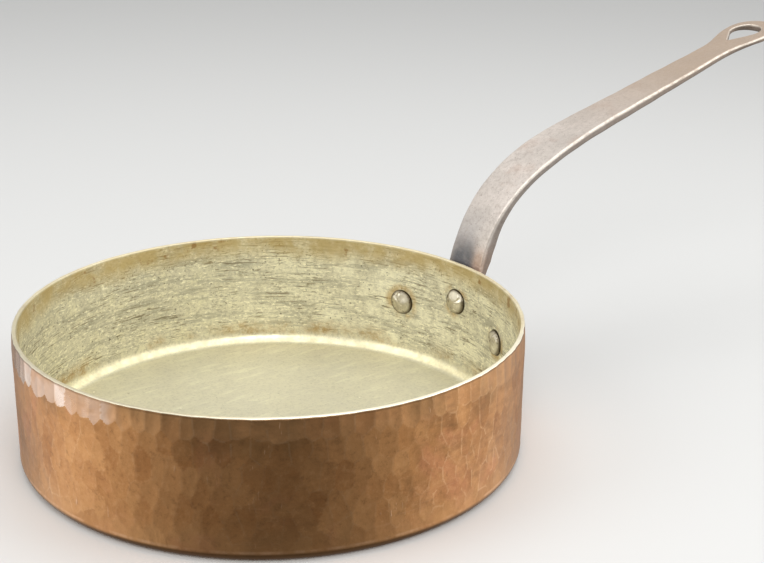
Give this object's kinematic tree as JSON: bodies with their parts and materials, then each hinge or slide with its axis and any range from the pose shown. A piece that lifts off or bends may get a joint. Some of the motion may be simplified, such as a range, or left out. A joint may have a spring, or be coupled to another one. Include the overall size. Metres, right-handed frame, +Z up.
{
  "type": "straight-sided copper saucepan",
  "caption": "Low, wide straight-sided copper pan with a tinned inside and a long, curved iron handle that is riveted on and ends in a hanging eye.",
  "frame": {"origin": "centre of the base, on the surface that the pan stands on", "axes": "+Z up, +X from the pan's axis along the handle"},
  "size_m": [0.563, 0.28, 0.1992],
  "materials": {
    "hammered_copper": "planished copper with brown patina",
    "tinned_inside": "worn, wiped tin with scratches and an ochre stain",
    "cast_iron_handle": "fine-grained bare casting, bright on its edges",
    "copper_rivets": "hammered copper, tinned inside the pan"
  },
  "bodies": {
    "root": {"pan_body": "hammered_copper", "tin_lining": "tinned_inside", "handle": "cast_iron_handle", "rivet_left": "copper_rivets", "rivet_centre": "copper_rivets", "rivet_right": "copper_rivets"}
  },
  "joints": []
}
